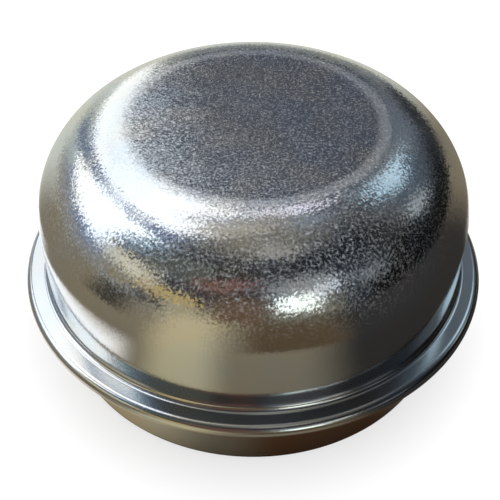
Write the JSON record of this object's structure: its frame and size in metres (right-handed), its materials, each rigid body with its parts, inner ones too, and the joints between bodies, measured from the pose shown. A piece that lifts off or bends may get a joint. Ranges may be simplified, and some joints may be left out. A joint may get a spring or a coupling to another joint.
{
  "type": "hub grease cap",
  "caption": "Domed sheet-steel cap that is pressed into a wheel hub's bore to hold the bearing grease in and keep dirt out, with a folded stop bead.",
  "frame": {"origin": "on the cap's axis, in the plane of its open edge, which it stands on", "axes": "+Z along the axis, from the open edge to the crown"},
  "size_m": [0.0586, 0.0586, 0.0312],
  "materials": {
    "bright_zinc": "bright zinc plating on drawn steel: mirror-like with a fine grain and light handling scratches"
  },
  "bodies": {
    "root": {"grease_cap": "bright_zinc"}
  },
  "joints": []
}
